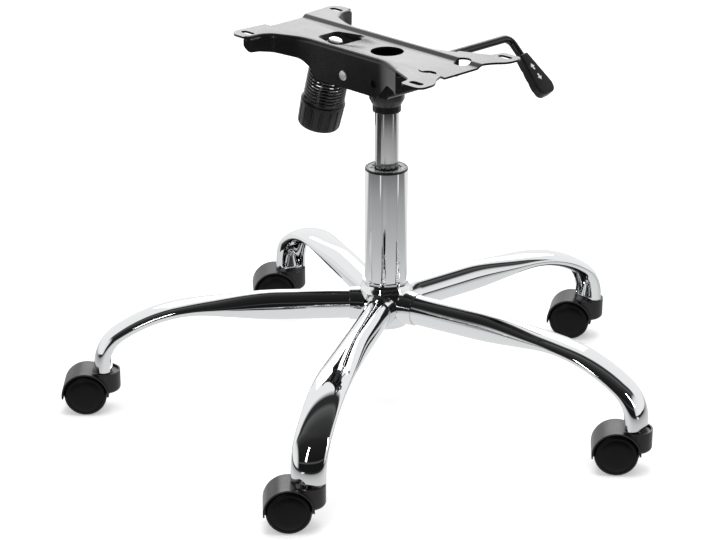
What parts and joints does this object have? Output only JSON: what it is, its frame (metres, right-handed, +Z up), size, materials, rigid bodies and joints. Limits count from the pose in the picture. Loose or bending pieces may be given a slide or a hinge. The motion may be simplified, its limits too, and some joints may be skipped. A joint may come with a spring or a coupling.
{
  "type": "office chair base with gas lift and tilt mechanism",
  "caption": "Five star base of formed chrome tube with twin wheel casters, gas lift, tilt mechanism, height lever and tension knob.",
  "frame": {"origin": "on the floor, on the column's axis", "axes": "+Z up along the column; the front of the seat faces -Y; the height lever comes out towards -X, on the sitter's right"},
  "size_m": [0.6891, 0.6975, 0.4405],
  "materials": {
    "chrome": "polished chrome plate",
    "bare_steel": "satin steel",
    "zinc": "bright zinc plate",
    "black_paint": "gloss black powder coat",
    "spring_steel": "black coated spring steel",
    "black_plastic": "fine grained black nylon",
    "grey_plastic": "grey acetal",
    "wheel_plastic": "black nylon tread",
    "buffer_rubber": "black rubber"
  },
  "bodies": {
    "base": {"hub_tube": "chrome", "leg_1": "chrome", "leg_2": "chrome", "leg_3": "chrome", "leg_4": "chrome", "leg_5": "chrome", "caster_socket_1": "chrome", "caster_socket_2": "chrome", "caster_socket_3": "chrome", "caster_socket_4": "chrome", "caster_socket_5": "chrome", "caster_stem_1": "bare_steel", "caster_stem_2": "bare_steel", "caster_stem_3": "bare_steel", "caster_stem_4": "bare_steel", "caster_stem_5": "bare_steel", "column_tube": "chrome", "column_bush": "black_plastic", "bush_lock_ring": "grey_plastic", "column_base_disc": "bare_steel", "bearing_race_lower": "bare_steel", "bearing_balls": "bare_steel"},
    "rod": {"piston_rod": "bare_steel", "retaining_clip": "bare_steel", "rubber_buffer": "buffer_rubber", "bearing_race_upper": "bare_steel"},
    "lift": {"gas_cylinder": "bare_steel", "taper_socket": "black_paint", "dust_collar": "black_plastic", "tilt_bracket": "black_paint", "lever_bushes": "black_plastic", "tension_spring": "spring_steel"},
    "seat_mount": {"seat_plate": "black_paint", "pivot_rivet": "zinc", "tension_bolt": "zinc"},
    "washer": {"spring_washer": "black_paint"},
    "knob": {"tension_knob": "black_plastic"},
    "lever": {"lever_rod": "black_paint", "lever_handle": "black_plastic"},
    "button": {"release_button": "bare_steel"},
    "caster_1": {"caster_hood_1": "black_plastic", "caster_axle_1": "bare_steel"},
    "wheel_left_1": {"caster_wheel_left_1": "wheel_plastic"},
    "wheel_right_1": {"caster_wheel_right_1": "wheel_plastic"},
    "caster_2": {"caster_hood_2": "black_plastic", "caster_axle_2": "bare_steel"},
    "wheel_left_2": {"caster_wheel_left_2": "wheel_plastic"},
    "wheel_right_2": {"caster_wheel_right_2": "wheel_plastic"},
    "caster_3": {"caster_hood_3": "black_plastic", "caster_axle_3": "bare_steel"},
    "wheel_left_3": {"caster_wheel_left_3": "wheel_plastic"},
    "wheel_right_3": {"caster_wheel_right_3": "wheel_plastic"},
    "caster_4": {"caster_hood_4": "black_plastic", "caster_axle_4": "bare_steel"},
    "wheel_left_4": {"caster_wheel_left_4": "wheel_plastic"},
    "wheel_right_4": {"caster_wheel_right_4": "wheel_plastic"},
    "caster_5": {"caster_hood_5": "black_plastic", "caster_axle_5": "bare_steel"},
    "wheel_left_5": {"caster_wheel_left_5": "wheel_plastic"},
    "wheel_right_5": {"caster_wheel_right_5": "wheel_plastic"}
  },
  "joints": [
    {"name": "column_swivel", "type": "hinge", "parent": "base", "child": "rod", "pos_m": [0, 0, 0.121], "axis": [0, 0, 1], "continuous": true},
    {"name": "gas_lift", "type": "slide", "parent": "rod", "child": "lift", "axis": [0, 0, 1], "range_m": [-0.055, 0], "stiffness_N_per_m": 300, "springref_m": 0.3},
    {"name": "seat_tilt", "type": "hinge", "parent": "lift", "child": "seat_mount", "pos_m": [0, -0.031, 0.41], "axis": [-1, 0, 0], "range_deg": [0, 8], "stiffness_Nm_per_rad": 2, "springref_deg": -28.65, "deforming": ["tension_spring"]},
    {"name": "washer_travel", "type": "slide", "parent": "seat_mount", "child": "washer", "axis": [0, 0.2672, 0.9636], "range_m": [0, 0.0045], "deforming": ["tension_spring"]},
    {"name": "knob_turn", "type": "hinge", "parent": "washer", "child": "knob", "pos_m": [0, -0.0838, 0.4333], "axis": [0, 0.2672, 0.9636], "range_deg": [0, 1080]},
    {"name": "lever_turn", "type": "hinge", "parent": "lift", "child": "lever", "pos_m": [-0.1, 0.014, 0.4175], "axis": [1, 0, 0], "range_deg": [0, 12], "stiffness_Nm_per_rad": 0.3, "springref_deg": -17.19},
    {"name": "button_press", "type": "slide", "parent": "lift", "child": "button", "axis": [0, 0, -1], "range_m": [0, 0.00315]},
    {"name": "caster_swivel_1", "type": "hinge", "parent": "base", "child": "caster_1", "pos_m": [0.28603, 0.17051, 0.04], "axis": [0, 0, 1], "continuous": true},
    {"name": "caster_swivel_2", "type": "hinge", "parent": "base", "child": "caster_2", "pos_m": [-0.07378, 0.32472, 0.04], "axis": [0, 0, 1], "continuous": true},
    {"name": "caster_swivel_3", "type": "hinge", "parent": "base", "child": "caster_3", "pos_m": [-0.33163, 0.03018, 0.04], "axis": [0, 0, 1], "continuous": true},
    {"name": "caster_swivel_4", "type": "hinge", "parent": "base", "child": "caster_4", "pos_m": [-0.13118, -0.30607, 0.04], "axis": [0, 0, 1], "continuous": true},
    {"name": "caster_swivel_5", "type": "hinge", "parent": "base", "child": "caster_5", "pos_m": [0.25055, -0.21934, 0.04], "axis": [0, 0, 1], "continuous": true},
    {"name": "wheel_left_spin_1", "type": "hinge", "parent": "caster_1", "child": "wheel_left_1", "pos_m": [0.30201, 0.15612, 0.025], "axis": [0.6691, 0.7431, 0], "continuous": true},
    {"name": "wheel_right_spin_1", "type": "hinge", "parent": "caster_1", "child": "wheel_right_1", "pos_m": [0.30201, 0.15612, 0.025], "axis": [0.6691, 0.7431, 0], "continuous": true},
    {"name": "wheel_left_spin_2", "type": "hinge", "parent": "caster_2", "child": "wheel_left_2", "pos_m": [-0.05939, 0.30875, 0.025], "axis": [0.7431, 0.6691, 0], "continuous": true},
    {"name": "wheel_right_spin_2", "type": "hinge", "parent": "caster_2", "child": "wheel_right_2", "pos_m": [-0.05939, 0.30875, 0.025], "axis": [0.7431, 0.6691, 0], "continuous": true},
    {"name": "wheel_left_spin_3", "type": "hinge", "parent": "caster_3", "child": "wheel_left_3", "pos_m": [-0.3193, 0.01257, 0.025], "axis": [0.8192, 0.5736, 0], "continuous": true},
    {"name": "wheel_right_spin_3", "type": "hinge", "parent": "caster_3", "child": "wheel_right_3", "pos_m": [-0.3193, 0.01257, 0.025], "axis": [0.8192, 0.5736, 0], "continuous": true},
    {"name": "wheel_left_spin_4", "type": "hinge", "parent": "caster_4", "child": "wheel_left_4", "pos_m": [-0.11471, -0.31989, 0.025], "axis": [0.6428, 0.766, 0], "continuous": true},
    {"name": "wheel_right_spin_4", "type": "hinge", "parent": "caster_4", "child": "wheel_right_4", "pos_m": [-0.11471, -0.31989, 0.025], "axis": [0.6428, 0.766, 0], "continuous": true},
    {"name": "wheel_left_spin_5", "type": "hinge", "parent": "caster_5", "child": "wheel_left_5", "pos_m": [0.26602, -0.23428, 0.025], "axis": [0.6947, 0.7193, 0], "continuous": true},
    {"name": "wheel_right_spin_5", "type": "hinge", "parent": "caster_5", "child": "wheel_right_5", "pos_m": [0.26602, -0.23428, 0.025], "axis": [0.6947, 0.7193, 0], "continuous": true}
  ],
  "couplings": [
    {"joint": "knob_turn", "follows": "washer_travel", "rad_per_m": 4188.8},
    {"joint": "button_press", "follows": "lever_turn", "m_per_rad": 0.015}
  ]
}
